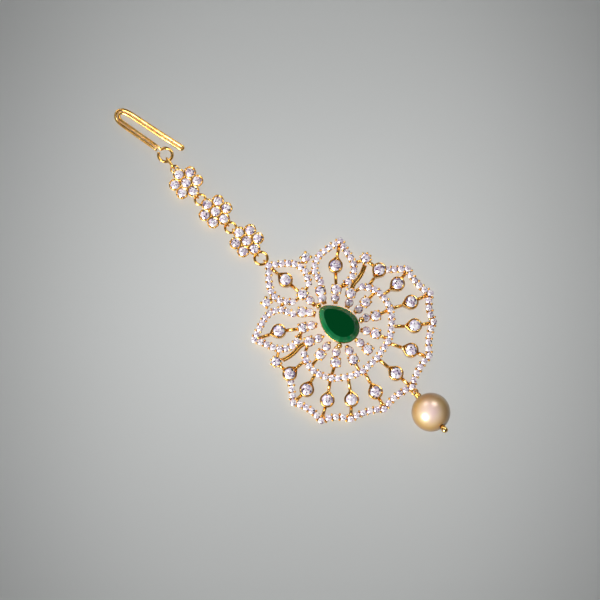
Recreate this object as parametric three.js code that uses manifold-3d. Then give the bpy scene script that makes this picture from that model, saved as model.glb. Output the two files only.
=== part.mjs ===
// A maang tikka that lies flat: a hair hook, three flower links, a round open-work pendant and a
// pearl drop. Millimetres, +Z up. The origin is under the green stone, on the flat back of the
// pendant, and +Y runs from there towards the hook.
import * as THREE from 'three';
import { mergeVertices } from 'three/addons/utils/BufferGeometryUtils.js';
import Module from 'manifold-3d';

const wasm = await Module();
wasm.setup();

// Driving dimensions
const bandWidth = 1.35; // a row of paved stones
const bandHeight = 1.5;
const barWidth = 0.7; // plain bars that tie the rows together
const barHeight = 1.0;
const roundSides = 10; // cups and stones
const pearlSteps = 14;
const pearlGap = 0.1; // between the pearl and the wrapped neck
const pearSides = 18;
const wireSides = 6;
const stoneGap = 0.12; // all round a stone in its cup
const clearAbove = 2; // how far the room for a stone reaches above its cup
const cupFoot = 0.85; // the foot of a round cup, as a share of its top
const weld = 1e-4; // corners nearer than this are one corner

// The green stone and its setting: half an ellipse below its widest line, drawn out to a blunt
// tip above it
const pear = { halfWidth: 3.45, widestY: -1.0, bottomY: -4.9, tipY: 4.6, middleY: -0.4, culetZ: 1.3 };
const pearTaper = 0.65; // how much the shoulders draw in towards the tip
const pearLevels = [
  { grow: -0.3, z: 3.15 },
  { grow: -0.02, z: 3.45 },
  { grow: -0.02, z: 3.62 },
  { grow: -1.05, z: 4.9 },
];
const setting = { wall: 0.45, height: 3.2, floor: 0.8, post: 0.42, ball: 0.58, ballZ: 3.85 };
const prongs = [
  { x: 0, y: 5.35 },
  { x: 3.6, y: -3.45 },
  { x: -3.6, y: -3.45 },
];

// Right-hand half of the scalloped rim: corners, and how far each stretch sags inwards
const rimCorners = [
  { x: 15.6, y: -0.6, sag: 0 },
  { x: 18.5, y: -3.7, sag: 0.65 },
  { x: 17.6, y: -10.6, sag: 0.65 },
  { x: 13.4, y: -15.0, sag: 0.55 },
  { x: 7.3, y: -18.9, sag: 0.6 },
  { x: 0, y: -20.4, sag: 0 },
];
const rimSteps = 4; // in each stretch

// Right-hand halves of the other paved rows, each a smooth curve through these points
const innerRing = [[9.35, 1.15], [10.55, -1.1], [10.5, -4.2], [8.7, -7.45], [4.75, -10.2], [0, -10.9]];
const middlePetal = [[0, 18.9], [1.95, 17.3], [3.75, 15.15], [4.18, 12.55], [2.57, 10.05]];
const upperEdge = [[13.5, 10.9], [10.95, 11.95], [8.3, 12.3], [5.6, 11.1], [4.45, 8.35]];
const lowerEdge = [[13.5, 10.9], [12.95, 8.1], [11.9, 5.6], [9.4, 4.0], [6.9, 4.4]];
const rowSteps = 12;

// Right-hand arms round the green stone: a large cup and a small one nearer the middle
const armCups = { large: 1.2, small: 0.85, height: 1.7 };
const armBarWidth = 0.9;
const armBarEnd = 0.78; // the bar's inner end, as a share of the small cup's distance from the middle
const arms = [
  { x: 0, y: 9.6, innerX: 0, innerY: 7.55, mirrored: false },
  { x: 2.95, y: 7.2, innerX: 1.95, innerY: 5.9, mirrored: true },
  { x: 5.35, y: 4.9, innerX: 3.8, innerY: 3.85, mirrored: true },
  { x: 6.7, y: 2.05, innerX: 4.95, innerY: 1.0, mirrored: true },
  { x: 7.3, y: -1.5, innerX: 5.2, innerY: -1.4, mirrored: true },
  { x: 6.45, y: -5.0, innerX: 4.75, innerY: -3.7, mirrored: true },
  { x: 3.6, y: -7.4, innerX: 2.75, innerY: -5.55, mirrored: true },
  { x: 0, y: -8.3, innerX: 0, innerY: -6.2, mirrored: false },
];

// Teardrop bezels on the right-hand side and the middle: the stone's place, where a bar runs from
// its tip, and where one runs from its round end
const bezel = { halfWidth: 1.55, length: 3.85, height: 1.7, stoneRadius: 1.1 };
const bezels = [
  { x: 0, y: -16.0, tipX: 0, tipY: -10.9, tailX: 0, tailY: -20.0 },
  { x: 5.76, y: -15.25, tipX: 3.9, tipY: -10.6, tailX: 6.9, tailY: -18.5 },
  { x: 10.2, y: -12.5, tipX: 7.0, tipY: -8.9, tailX: 13.0, tailY: -14.7 },
  { x: 13.55, y: -8.75, tipX: 9.6, tipY: -6.3, tailX: 17.2, tailY: -10.4 },
  { x: 14.65, y: -4.1, tipX: 10.6, tipY: -3.2, tailX: 18.2, tailY: -3.8 },
  { x: 14.47, y: 0.72, tipX: 10.2, tipY: 0.2, tailX: 15.8, tailY: -0.8 },
  { x: 0, y: 14.3, tipX: 0, tipY: 18.6, tailX: 0, tailY: 9.6 },
  { x: 9.13, y: 8.3, tipX: 13.2, tipY: 10.7, tailX: 5.35, tailY: 4.9 },
];

// Round cups: the claw-set stones between the petals and the single stones beside them
const clawCup = { x: 6.34, y: 14.15, radius: 1.15, stoneRadius: 0.9, height: 1.7 };
const claw = { reach: 1.15, height: 2.3, foot: 0.2, top: 0.28, sides: 6, count: 4 };
const sideCup = { x: 14.4, y: 4.5, radius: 1.3, stoneRadius: 0.95, height: 1.7 };
const roomFloor = 0.4; // under the stone of each cup and bezel
const girdleZ = 1.55; // of the round stones

// Plain bars on the right-hand side, from one point to the other
const bars = [
  { x1: 7.3, y1: -1.5, x2: 10.6, y2: -1.6 },
  { x1: 6.45, y1: -5.0, x2: 9.6, y2: -6.3 },
  { x1: 3.6, y1: -7.4, x2: 4.6, y2: -10.2 },
  { x1: 6.34, y1: 14.15, x2: 4.1, y2: 14.0 },
  { x1: 14.4, y1: 4.5, x2: 12.4, y2: 5.6 },
  { x1: 14.4, y1: 4.5, x2: 14.47, y2: 0.72 },
  { x1: 2.57, y1: 10.05, x2: 0, y2: 9.6 },
  { x1: 3.7, y1: 11.6, x2: 5.6, y2: 11.1 },
  { x1: 4.45, y1: 8.35, x2: 2.95, y2: 7.2 },
  { x1: 6.9, y1: 4.4, x2: 5.35, y2: 4.9 },
  { x1: 6.7, y1: 2.05, x2: 9.35, y2: 1.15 },
];
const stem = [[13.2, 3.7], [11.0, 2.95], [9.0, 2.8], [7.0, 2.3]];

// Jump rings, which all lie at one height, and the eyelets that they pass through
const chainZ = 0.75;
const upperRing = { name: 'flower_ring_1', x: 1.4, y: 39.35, radius: 1.14, wire: 0.28 };
const lowerRing = { name: 'flower_ring_2', x: 1.0, y: 30.5, radius: 1.14, wire: 0.28 };
const pendantRing = { name: 'pendant_ring', x: 0.2, y: 21.3, radius: 1.35, wire: 0.3 };
const eyelet = { radius: 0.6, wire: 0.17 };
const ringGap = 0.14;

// Flower links, from the hook down: each is turned clockwise from +Y, in degrees
const flower = { pitch: 2.4, plate: 0.7, top: 1.3, foot: 0.85, height: 1.75, pocket: 0.95, floor: 1.1 };
const topLoop = { x: 2.8, y: 47.82, z: 1.0, radius: 0.8, wire: 0.2 };
const flowers = [
  { name: 'flower_link_1', x: 2.05, y: 43.85, turn: 9, rings: [upperRing], flatLoops: [topLoop] },
  { name: 'flower_link_2', x: 1.4, y: 35.0, turn: 1, rings: [upperRing, lowerRing], flatLoops: [] },
  { name: 'flower_link_3', x: 0.95, y: 25.9, turn: 7, rings: [lowerRing, pendantRing], flatLoops: [] },
];
const link = { x: 3.17, y: 49.36, z: 1.0, stretch: 0.62, radius: 0.72, wire: 0.25, turn: 12 };

// The hook: the middle line of the doubled wire, from its eye round the bend to its free end
const hook = { wire: 0.32, apart: 0.38, eyeRadius: 1.48, eyeX: 3.85, eyeY: 51.4, eyeZ: 1.0 };
const eyeLean = 4; // degrees, from +Y to the neck
const eyeSlack = 0.05; // radians, by which the eye is open beyond its neck
const hookLine = [
  { x: 3.8, y: 53.5, z: 1.0 },
  { x: 3.4, y: 59.1, z: 0.7 },
  { x: 3.1, y: 63.6, z: 0.45 },
  { x: 3.65, y: 65.05, z: 0.36 },
  { x: 4.75, y: 65.25, z: 0.34 },
  { x: 5.65, y: 63.5, z: 0.34 },
  { x: 6.5, y: 56.5, z: 0.34 },
  { x: 7.35, y: 50.0, z: 0.34 },
];
const hookSteps = 34; // along each strand
const eyeSteps = 14;
const hookTubeSteps = 110;

// The drop: its eye holds a flat loop under the rim. From there its pin heads a little to the left
// of straight down and rises to the middle of the pearl, which lies on the ground.
const bottomLoop = { x: -0.5, y: -21.45, z: 1.75, radius: 0.58, wire: 0.2 };
const drop = { x: -0.6, y: -22.03, z: 1.75, heading: 15, eyeRadius: 0.72, wire: 0.2 };
const pearl = { radius: 4.0, hole: 0.6, fromEye: 5.22 };
const pin = { shaft: 0.32, wrapWire: 0.2, wrapRadius: 0.52, wrapTurns: 2, wrapPitch: 0.32 };
const pinEnd = { radius: 0.62, neck: 0.54, fromPearl: 4.12, length: 0.95 }; // a rounded cap

const gold = { color: 0xd9a94e, roughness: 0.22, metalness: 1.0 };
const clear = { color: 0xe6e0ea, roughness: 0.05, metalness: 0.0 };
const green = { color: 0x003c14, roughness: 0.05, metalness: 0.0 };
const cream = { color: 0xd8c0a4, roughness: 0.25, metalness: 0.0 };

const up = new THREE.Vector3(0, 0, 1);
const tikka = new THREE.Group();

function newMesh(name, geometry, finish) {
  const mesh = new THREE.Mesh(geometry, new THREE.MeshStandardMaterial(finish));
  mesh.name = name;
  return mesh;
}

function addMesh(name, geometry, finish) {
  tikka.add(newMesh(name, geometry, finish));
}

// A manifold solid from a three.js geometry, and back
function toSolid(geometry) {
  const bare = geometry.clone();
  bare.deleteAttribute('normal');
  bare.deleteAttribute('uv');
  const merged = mergeVertices(bare, weld);
  const vertProperties = new Float32Array(merged.attributes.position.array);
  const triVerts = new Uint32Array(merged.index.array);
  return new wasm.Manifold(new wasm.Mesh({ numProp: 3, vertProperties, triVerts }));
}

function toGeometry(solid) {
  const mesh = solid.getMesh();
  const geometry = new THREE.BufferGeometry();
  geometry.setAttribute('position', new THREE.BufferAttribute(mesh.vertProperties, 3));
  geometry.setIndex(new THREE.BufferAttribute(mesh.triVerts, 1));
  geometry.computeVertexNormals();
  return geometry;
}

function join(solids) {
  return solids.reduce((whole, next) => whole.add(next));
}

// A shape on the ground plane, raised from one height to another
function raise(shape, fromZ, toZ) {
  const settings = { depth: toZ - fromZ, bevelEnabled: false, curveSegments: 8 };
  return new THREE.ExtrudeGeometry(shape, settings).translate(0, 0, fromZ);
}

// An upright cone or cylinder with its foot at a height
function post(x, y, fromZ, toZ, footRadius, topRadius, sides = roundSides) {
  const geometry = new THREE.CylinderGeometry(topRadius, footRadius, toZ - fromZ, sides);
  geometry.rotateX(Math.PI / 2);
  return toSolid(geometry.translate(x, y, (fromZ + toZ) / 2));
}

function ball(x, y, z, radius) {
  return toSolid(new THREE.SphereGeometry(radius, 10, 7).translate(x, y, z));
}

// A straight bar between two points, lying on the ground
function bar(x1, y1, x2, y2, width = barWidth, height = barHeight) {
  const geometry = new THREE.BoxGeometry(Math.hypot(x2 - x1, y2 - y1), width, height);
  geometry.rotateZ(Math.atan2(y2 - y1, x2 - x1));
  return toSolid(geometry.translate((x1 + x2) / 2, (y1 + y2) / 2, height / 2));
}

// An open band of even width along a flat line of points
function band(points, width = bandWidth, height = bandHeight) {
  const sides = [[], []];
  points.forEach((point, i) => {
    const before = points[Math.max(i - 1, 0)];
    const after = points[Math.min(i + 1, points.length - 1)];
    const along = after.clone().sub(before).normalize();
    const across = new THREE.Vector2(-along.y, along.x).multiplyScalar(width / 2);
    sides[0].push(point.clone().add(across));
    sides[1].unshift(point.clone().sub(across));
  });
  return toSolid(raise(new THREE.Shape([...sides[0], ...sides[1]]), 0, height));
}

function smooth(points, steps) {
  return new THREE.SplineCurve(points.map(([x, y]) => new THREE.Vector2(x, y))).getPoints(steps);
}

function mirrored(points) {
  return points.map((point) => new THREE.Vector2(-point.x, point.y));
}

// The scalloped rim's right half: each stretch is a shallow arc between two corners
function rimLine() {
  const points = [];
  for (let i = 0; i < rimCorners.length - 1; i += 1) {
    const from = rimCorners[i];
    const to = rimCorners[i + 1];
    const span = new THREE.Vector2(to.x - from.x, to.y - from.y);
    const inward = new THREE.Vector2(span.y, -span.x).normalize();
    for (let step = 0; step < rimSteps; step += 1) {
      const t = step / rimSteps;
      const dip = 4 * t * (1 - t) * from.sag;
      points.push(new THREE.Vector2(from.x + span.x * t, from.y + span.y * t).addScaledVector(inward, dip));
    }
  }
  points.push(new THREE.Vector2(0, rimCorners.at(-1).y));
  return points;
}

// A ring of round wire; its axis is Z until it is turned
function torus(radius, wire, segments = 18) {
  return new THREE.TorusGeometry(radius, wire, wireSides, segments);
}

// An upright eyelet round the part of a lying ring that is nearest to +Y or to -Y
function uprightEyelet(ring, side) {
  const geometry = torus(eyelet.radius, eyelet.wire, 14).rotateY(Math.PI / 2);
  return toSolid(geometry.translate(ring.x, ring.y + side * ring.radius, chainZ));
}

// The space that a lying jump ring needs in its neighbours, and the space for a round stone
function ringRoom(ring) {
  return toSolid(torus(ring.radius, ring.wire + ringGap, 18).translate(ring.x, ring.y, chainZ));
}

function stoneRoom(x, y, stoneRadius) {
  const radius = stoneRadius + stoneGap;
  return post(x, y, roomFloor, girdleZ + clearAbove, radius, radius);
}

// A round stone: table, crown, girdle and pavilion
function roundStone(x, y, radius) {
  const profile = [
    [0, -0.75], [1, -0.05], [1, 0.05], [0.58, 0.33], [0, 0.33],
  ].map(([r, z]) => new THREE.Vector2(r * radius, z * radius));
  const geometry = new THREE.LatheGeometry(profile, roundSides).rotateX(Math.PI / 2);
  return geometry.translate(x, y, girdleZ);
}

// Outline of the pear, from its tip all the way round; grow widens it evenly
function pearShape(grow) {
  const below = pear.widestY - pear.bottomY + grow;
  const above = pear.tipY - pear.widestY + grow;
  const points = [];
  for (let i = 0; i < pearSides; i += 1) {
    const angle = (i / pearSides) * 2 * Math.PI;
    const level = Math.cos(angle);
    const rise = level > 0 ? above * (level - pearTaper * level ** 2 * (1 - level)) : below * level;
    points.push(new THREE.Vector2(-(pear.halfWidth + grow) * Math.sin(angle), pear.widestY + rise));
  }
  return points;
}

// The pear stone: rings of the outline at four heights, joined up to the table and down to a point
function pearStone() {
  const vertices = [];
  pearLevels.forEach(({ grow, z }) => pearShape(grow).forEach((p) => vertices.push(p.x, p.y, z)));
  const count = pearSides;
  const last = (pearLevels.length - 1) * count;
  const bottom = vertices.push(0, pear.middleY, pear.culetZ) / 3 - 1;
  const top = vertices.push(0, pear.middleY, pearLevels.at(-1).z) / 3 - 1;
  const faces = [];
  for (let i = 0; i < count; i += 1) {
    const next = (i + 1) % count;
    for (let a = 0; a < last; a += count) {
      faces.push(a + i, a + next, a + count + next, a + i, a + count + next, a + count + i);
    }
    faces.push(next, i, bottom, last + i, last + next, top);
  }
  const geometry = new THREE.BufferGeometry();
  geometry.setAttribute('position', new THREE.Float32BufferAttribute(vertices, 3));
  geometry.setIndex(faces);
  geometry.computeVertexNormals();
  return geometry;
}

// Outline of a teardrop round the origin, with its tip on +X
function teardropShape() {
  const { halfWidth, length } = bezel;
  const tip = length - halfWidth;
  const open = Math.acos(halfWidth / tip);
  const shape = new THREE.Shape();
  shape.moveTo(tip, 0);
  shape.absarc(0, 0, halfWidth, open, 2 * Math.PI - open, false);
  shape.closePath();
  return shape;
}

// The soldered pendant: everything that is metal, joined, and then the room for each stone cut out
function pendantFrame() {
  const solids = [toSolid(raise(new THREE.Shape(pearShape(setting.wall)), 0, setting.height))];
  const pearRoom = new THREE.Shape(pearShape(stoneGap));
  const rooms = [toSolid(raise(pearRoom, setting.floor, setting.ballZ + clearAbove))];
  for (const { x, y } of prongs) {
    solids.push(post(x, y, 0, setting.ballZ, setting.post, setting.post));
    solids.push(ball(x, y, setting.ballZ, setting.ball));
  }

  const rows = [rimLine(), smooth(innerRing, rowSteps), smooth(middlePetal, rowSteps).reverse()];
  for (const row of rows) solids.push(band([...row, ...mirrored(row).reverse().slice(1)]));
  for (const edge of [upperEdge, lowerEdge].map((points) => smooth(points, rowSteps))) {
    solids.push(band(edge), band(mirrored(edge)));
  }

  for (const side of [1, -1]) {
    for (const arm of arms.filter(({ mirrored: both }) => both || side === 1)) {
      const x = side * arm.x;
      const innerX = side * arm.innerX;
      solids.push(post(x, arm.y, 0, armCups.height, armCups.large * cupFoot, armCups.large));
      solids.push(post(innerX, arm.innerY, 0, armCups.height, armCups.small * cupFoot, armCups.small));
      solids.push(bar(x, arm.y, innerX * armBarEnd, arm.innerY * armBarEnd, armBarWidth));
    }
    for (const seat of bezels.filter(({ x }) => x > 0 || side === 1)) {
      const x = side * seat.x;
      const angle = Math.atan2(seat.tipY - seat.y, side * (seat.tipX - seat.x));
      solids.push(toSolid(raise(teardropShape(), 0, bezel.height).rotateZ(angle).translate(x, seat.y, 0)));
      solids.push(bar(x, seat.y, side * seat.tipX, seat.tipY));
      solids.push(bar(x, seat.y, side * seat.tailX, seat.tailY));
      rooms.push(stoneRoom(x, seat.y, bezel.stoneRadius));
    }
    for (const cup of [clawCup, sideCup]) {
      solids.push(post(side * cup.x, cup.y, 0, cup.height, cup.radius * cupFoot, cup.radius));
      rooms.push(stoneRoom(side * cup.x, cup.y, cup.stoneRadius));
    }
    for (let i = 0; i < claw.count; i += 1) {
      const angle = ((i + 0.5) / claw.count) * 2 * Math.PI;
      const x = side * clawCup.x + claw.reach * Math.cos(angle);
      const y = clawCup.y + claw.reach * Math.sin(angle);
      solids.push(post(x, y, 0, claw.height, claw.foot, claw.top, claw.sides));
    }
    for (const { x1, y1, x2, y2 } of bars) solids.push(bar(side * x1, y1, side * x2, y2));
    const stemLine = smooth(stem, 8).map((point) => new THREE.Vector2(side * point.x, point.y));
    solids.push(band(stemLine, barWidth, barHeight));
  }

  const { radius, wire, x, y, z } = bottomLoop;
  solids.push(bar(0, rimCorners.at(-1).y, x, y + radius, barWidth, z));
  const loops = [toSolid(torus(radius, wire, 14).translate(x, y, z)), uprightEyelet(pendantRing, -1)];
  rooms.push(ringRoom(pendantRing));
  return join([join(solids).subtract(join(rooms)), ...loops]);
}

// A flower of seven tapered cups on a shared plate, with an eyelet wherever a jump ring meets it
function flowerLink({ x, y, turn, rings, flatLoops }) {
  const solids = [post(x, y, 0, flower.plate, flower.pitch, flower.pitch)];
  const rooms = rings.map(ringRoom);
  for (let i = 0; i < 7; i += 1) {
    const angle = THREE.MathUtils.degToRad(90 - turn + 60 * i);
    const reach = i < 6 ? flower.pitch : 0;
    const cupX = x + reach * Math.cos(angle);
    const cupY = y + reach * Math.sin(angle);
    solids.push(post(cupX, cupY, 0, flower.height, flower.foot, flower.top));
    rooms.push(post(cupX, cupY, flower.floor, flower.height + clearAbove, flower.pocket, flower.pocket));
  }
  const loops = rings.map((ring) => uprightEyelet(ring, Math.sign(y - ring.y)));
  for (const loop of flatLoops) {
    loops.push(toSolid(torus(loop.radius, loop.wire, 14).translate(loop.x, loop.y, loop.z)));
  }
  return join([join(solids).subtract(join(rooms)), ...loops]);
}

// Round wire along a line of points, with two flat ends
function wireTube(points, radius, steps) {
  const section = new THREE.Shape().absarc(0, 0, radius, 0, 2 * Math.PI, false);
  const extrudePath = new THREE.CatmullRomCurve3(points);
  return new THREE.ExtrudeGeometry(section, { steps, extrudePath, curveSegments: 4 });
}

// The hook's wire: from its neck up one strand, round the fold at the free end, back down the
// other strand and round the eye to where it began
function hookWire() {
  const line = new THREE.CatmullRomCurve3(hookLine.map(({ x, y, z }) => new THREE.Vector3(x, y, z)));
  const strands = [[], []];
  for (let i = 0; i <= hookSteps; i += 1) {
    const across = line.getTangent(i / hookSteps).cross(up).setLength(hook.apart);
    strands[0].push(line.getPoint(i / hookSteps).sub(across));
    strands[1].unshift(line.getPoint(i / hookSteps).add(across));
  }
  const fold = line.getPoint(1).add(line.getTangent(1).setLength(hook.apart));
  const opening = Math.asin(hook.apart / hook.eyeRadius) + eyeSlack;
  const start = Math.PI / 2 + THREE.MathUtils.degToRad(eyeLean) - opening;
  const eye = [];
  for (let i = 0; i < eyeSteps; i += 1) {
    const angle = start - (i / eyeSteps) * 2 * (Math.PI - opening);
    const x = hook.eyeX + hook.eyeRadius * Math.cos(angle);
    eye.push(new THREE.Vector3(x, hook.eyeY + hook.eyeRadius * Math.sin(angle), hook.eyeZ));
  }
  return wireTube([...strands[0], fold, ...strands[1], ...eye], hook.wire, hookTubeSteps);
}

// An upright link: a ring of wire, drawn out along the chain
function hookLink() {
  const geometry = torus(link.radius, link.wire).rotateX(Math.PI / 2);
  const places = geometry.attributes.position;
  for (let i = 0; i < places.count; i += 1) {
    const x = places.getX(i);
    if (Math.abs(x) > weld) places.setX(i, x + Math.sign(x) * link.stretch);
  }
  geometry.rotateZ(THREE.MathUtils.degToRad(90 - link.turn));
  return geometry.translate(link.x, link.y, link.z);
}

// The drop's own group: its +X runs from the eye through the pearl
function dropGroup() {
  const group = new THREE.Group();
  const rise = Math.asin((pearl.radius - drop.z) / pearl.fromEye);
  const heading = THREE.MathUtils.degToRad(-90 - drop.heading);
  group.rotation.set(0, -rise, heading, 'ZYX');
  group.position.set(drop.x, drop.y, drop.z);
  return group;
}

// A ball with a hole through it, round the X axis
function drilledPearl() {
  const open = Math.asin(pearl.hole / pearl.radius);
  const profile = [];
  for (let i = 0; i <= pearlSteps; i += 1) {
    const angle = open + (i / pearlSteps) * (Math.PI - 2 * open);
    profile.push(new THREE.Vector2(pearl.radius * Math.sin(angle), -pearl.radius * Math.cos(angle)));
  }
  profile.push(profile[0].clone());
  return new THREE.LatheGeometry(profile, 20).rotateZ(-Math.PI / 2).translate(pearl.fromEye, 0, 0);
}

// The pin: an upright eye, a neck wrapped in its own wire, the shaft and the cap that ends it
function pearlPin() {
  const neck = pearl.fromEye - pearl.radius;
  const end = pearl.fromEye + pinEnd.fromPearl;
  const shaft = new THREE.CylinderGeometry(pin.shaft, pin.shaft, end - drop.eyeRadius, 8);
  shaft.rotateZ(Math.PI / 2).translate((end + drop.eyeRadius) / 2, 0, 0);
  const solids = [toSolid(shaft), toSolid(torus(drop.eyeRadius, drop.wire, 16).rotateX(Math.PI / 2))];
  for (let i = 0; i < pin.wrapTurns; i += 1) {
    const turn = torus(pin.wrapRadius, pin.wrapWire, 12).rotateY(Math.PI / 2);
    solids.push(toSolid(turn.translate(neck - pearlGap - pin.wrapWire - pin.wrapPitch * i, 0, 0)));
  }
  const cap = new THREE.CylinderGeometry(pinEnd.neck, pinEnd.radius, pinEnd.length, 12).rotateZ(Math.PI / 2);
  solids.push(toSolid(cap.translate(end + pinEnd.length / 2, 0, 0)));
  const tip = new THREE.SphereGeometry(pinEnd.radius, 12, 8).rotateZ(Math.PI / 2);
  solids.push(toSolid(tip.translate(end + pinEnd.length, 0, 0)));
  return join(solids);
}

addMesh('hook', hookWire(), gold);
addMesh('hook_link', hookLink(), gold);
for (const each of flowers) addMesh(each.name, toGeometry(flowerLink(each)), gold);
for (const { name, x, y, radius, wire } of [upperRing, lowerRing, pendantRing]) {
  addMesh(name, torus(radius, wire, 24).translate(x, y, chainZ), gold);
}
addMesh('pendant_frame', toGeometry(pendantFrame()), gold);
addMesh('centre_stone', pearStone(), green);

const stoneSeats = [
  ...bezels.map(({ x, y }) => ({ kind: y < 5 ? 'fan' : 'petal', x, y, radius: bezel.stoneRadius })),
  { kind: 'claw', x: clawCup.x, y: clawCup.y, radius: clawCup.stoneRadius },
  { kind: 'side', x: sideCup.x, y: sideCup.y, radius: sideCup.stoneRadius },
];
const counts = {};
for (const { kind, x, y, radius } of stoneSeats) {
  for (const side of x > 0 ? [1, -1] : [1]) {
    counts[kind] = (counts[kind] ?? 0) + 1;
    addMesh(`${kind}_stone_${counts[kind]}`, roundStone(side * x, y, radius), clear);
  }
}

const hanging = dropGroup();
tikka.add(hanging);
hanging.add(newMesh('pearl', drilledPearl(), cream), newMesh('pearl_pin', toGeometry(pearlPin()), gold));

export default tikka;
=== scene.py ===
import math

import bpy
import numpy as np
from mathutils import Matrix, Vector


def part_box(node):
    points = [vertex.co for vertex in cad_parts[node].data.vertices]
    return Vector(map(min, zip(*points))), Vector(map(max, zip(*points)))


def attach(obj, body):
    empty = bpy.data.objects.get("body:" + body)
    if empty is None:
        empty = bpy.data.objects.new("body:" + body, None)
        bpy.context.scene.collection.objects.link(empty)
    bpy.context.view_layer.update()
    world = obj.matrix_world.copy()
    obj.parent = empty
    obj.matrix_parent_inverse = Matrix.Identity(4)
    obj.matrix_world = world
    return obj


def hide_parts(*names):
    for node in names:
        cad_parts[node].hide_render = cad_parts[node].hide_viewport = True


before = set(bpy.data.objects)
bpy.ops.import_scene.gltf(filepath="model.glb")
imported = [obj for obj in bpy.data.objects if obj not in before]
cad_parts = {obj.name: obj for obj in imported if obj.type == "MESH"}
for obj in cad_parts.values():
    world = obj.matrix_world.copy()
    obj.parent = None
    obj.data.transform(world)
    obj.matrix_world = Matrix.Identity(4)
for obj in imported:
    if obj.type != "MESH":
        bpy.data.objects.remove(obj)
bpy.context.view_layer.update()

mm = 0.001
rng = np.random.default_rng(7)
jewel = bpy.data.collections.new("jewel")  # what the soft boxes light; the floor has lamps of its own


# Numbers and colours

def linearColour(hexText, alpha=1.0):
    # sRGB hex to linear: x/12.92 under 0.04045, else ((x+0.055)/1.055)^2.4
    values = [int(hexText[i:i + 2], 16) / 255 for i in (1, 3, 5)]
    return (*[v / 12.92 if v <= 0.04045 else ((v + 0.055) / 1.055) ** 2.4 for v in values], alpha)


def addNode(material, kind, settings=None, links=None):
    # adds a node, sets its fields and sockets, and links sockets from (node, output) pairs
    node = material.node_tree.nodes.new(kind)
    for key, value in (settings or {}).items():
        if isinstance(key, str) and hasattr(node, key) and key not in node.inputs:
            setattr(node, key, value)
        else:
            node.inputs[key].default_value = value
    for key, (source, output) in (links or {}).items():
        material.node_tree.links.new(source.outputs[output], node.inputs[key])
    return node


def newMaterial(name):
    material = bpy.data.materials.new(name)
    material.use_nodes = True
    material.node_tree.nodes.clear()
    return material


def rampStops(node, stops):
    # sets a colour ramp's stops from (place, hex) pairs
    ramp = node.color_ramp
    while len(ramp.elements) > len(stops):
        ramp.elements.remove(ramp.elements[-1])
    while len(ramp.elements) < len(stops):
        ramp.elements.new(1.0)
    for element, (place, colour) in zip(ramp.elements, stops):
        element.position = place
        element.color = linearColour(colour)


# A shape is a pair: its vertices in mm, and a list of polygon index arrays

def gridFaces(rows, columns, closeRows=False, closeColumns=True):
    # quads between neighbours of a rows x columns grid, wrapped where closed
    i = np.arange(rows if closeRows else rows - 1)[:, None]
    j = np.arange(columns if closeColumns else columns - 1)[None, :]
    nextI, nextJ = (i + 1) % rows, (j + 1) % columns
    corners = [i * columns + j, i * columns + nextJ, nextI * columns + nextJ, nextI * columns + j]
    return np.stack(np.broadcast_arrays(*corners), axis=-1).reshape(-1, 4)


def lathe(profile, sides):
    # each (radius, height) of the profile, from the foot up, goes round Z; the two ends are capped
    profile = np.array(profile, float)
    angle = np.arange(sides) / sides * 2 * np.pi
    ring = np.stack([np.cos(angle), np.sin(angle)], axis=-1)
    xy = profile[:, None, :1] * ring[None]
    z = np.broadcast_to(profile[:, None, 1:], (len(profile), sides, 1))
    points = np.concatenate([xy, z], axis=-1).reshape(-1, 3)
    last = (len(profile) - 1) * sides
    caps = [np.arange(sides)[::-1][None], (last + np.arange(sides))[None]]
    return points, [gridFaces(len(profile), sides), *caps]


def sweep(path, section, closed=False, reference=(0, 0, 1)):
    # carries a flat section (across, up) along a path; up is the reference made square to the path
    path = np.array(path, float)
    section = np.array(section, float)
    if closed:
        tangent = np.roll(path, -1, axis=0) - np.roll(path, 1, axis=0)
    else:
        tangent = np.gradient(path, axis=0)
    tangent /= np.linalg.norm(tangent, axis=1, keepdims=True)
    across = np.cross(tangent, np.broadcast_to(np.array(reference, float), tangent.shape))
    across /= np.linalg.norm(across, axis=1, keepdims=True)
    upward = np.cross(across, tangent)
    points = path[:, None] + across[:, None] * section[None, :, :1] + upward[:, None] * section[None, :, 1:]
    count = len(section)
    faces = [gridFaces(len(path), count, closeRows=closed)]
    if not closed:
        last = (len(path) - 1) * count
        faces += [np.arange(count)[::-1][None], (last + np.arange(count))[None]]
    return points.reshape(-1, 3), faces


def roundSection(radius, sides=12):
    # a circle, clockwise seen along the path, so that the faces look out
    angle = -np.arange(sides) / sides * 2 * np.pi
    return np.stack([radius * np.cos(angle), radius * np.sin(angle)], axis=-1)


def copies(shape, places, sizes=1.0, turns=0.0):
    # one copy of a shape at each place, scaled and turned about Z, joined
    points, polygons = shape
    places = np.atleast_2d(np.array(places, float))
    count = len(places)
    sizes = np.broadcast_to(np.asarray(sizes, float), (count,))
    turns = np.broadcast_to(np.asarray(turns, float), (count,))
    cos, sin = np.cos(turns)[:, None], np.sin(turns)[:, None]
    x = points[None, :, 0] * cos - points[None, :, 1] * sin
    y = points[None, :, 0] * sin + points[None, :, 1] * cos
    z = np.broadcast_to(points[None, :, 2], x.shape)
    placed = np.stack([x, y, z], axis=-1) * sizes[:, None, None] + places[:, None]
    step = np.arange(count)[:, None, None] * len(points)
    return placed.reshape(-1, 3), [(faces[None] + step).reshape(-1, faces.shape[1]) for faces in polygons]


def joined(shapes):
    # several shapes as one
    points, polygons, start = [], [], 0
    for shapePoints, shapePolygons in shapes:
        points.append(shapePoints)
        polygons += [faces + start for faces in shapePolygons]
        start += len(shapePoints)
    return np.concatenate(points), polygons


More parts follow.
